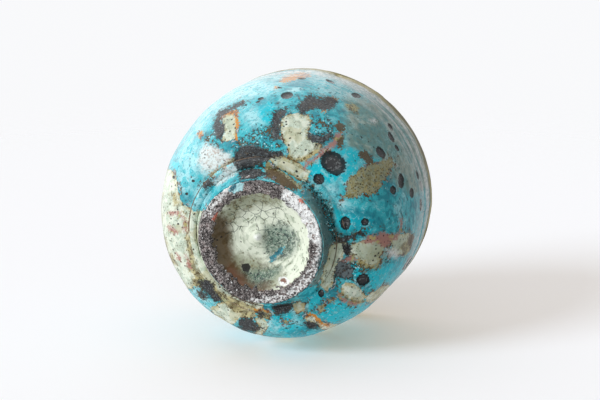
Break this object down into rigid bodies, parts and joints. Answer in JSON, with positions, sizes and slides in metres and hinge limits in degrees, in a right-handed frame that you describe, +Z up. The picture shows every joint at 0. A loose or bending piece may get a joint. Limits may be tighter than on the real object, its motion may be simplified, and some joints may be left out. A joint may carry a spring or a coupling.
{
  "type": "tea bowl",
  "caption": "Deep round ceramic tea bowl with a flared foot ring, a rounded collar at the foot's root and runny turquoise, celadon and iron-spotted glazes.",
  "frame": {"origin": "centre of the foot ring's resting face", "axes": "+Z up along the axis of the foot and the lip, from the foot to the mouth; the belly between them leans 2.2 mm towards +X and -Y"},
  "size_m": [0.1161, 0.1161, 0.084],
  "materials": {
    "bowl_body": "fired stoneware clay, hidden under the coats",
    "foot_ring": "bare coarse dark clay",
    "foot_collar": "gloss glaze with iron specks",
    "outer_glaze": "gloss turquoise and celadon glaze with craters and iron spots",
    "foot_glaze": "thin gloss glaze",
    "well_glaze": "crackled gloss celadon glaze",
    "inner_glaze": "gloss turquoise glaze",
    "lip_glaze": "thin olive-brown glaze"
  },
  "bodies": {
    "root": {"bowl_body": "bowl_body", "foot_ring": "foot_ring", "foot_collar": "foot_collar", "outer_glaze": "outer_glaze", "foot_glaze": "foot_glaze", "well_glaze": "well_glaze", "inner_glaze": "inner_glaze", "lip_glaze": "lip_glaze"}
  },
  "joints": []
}
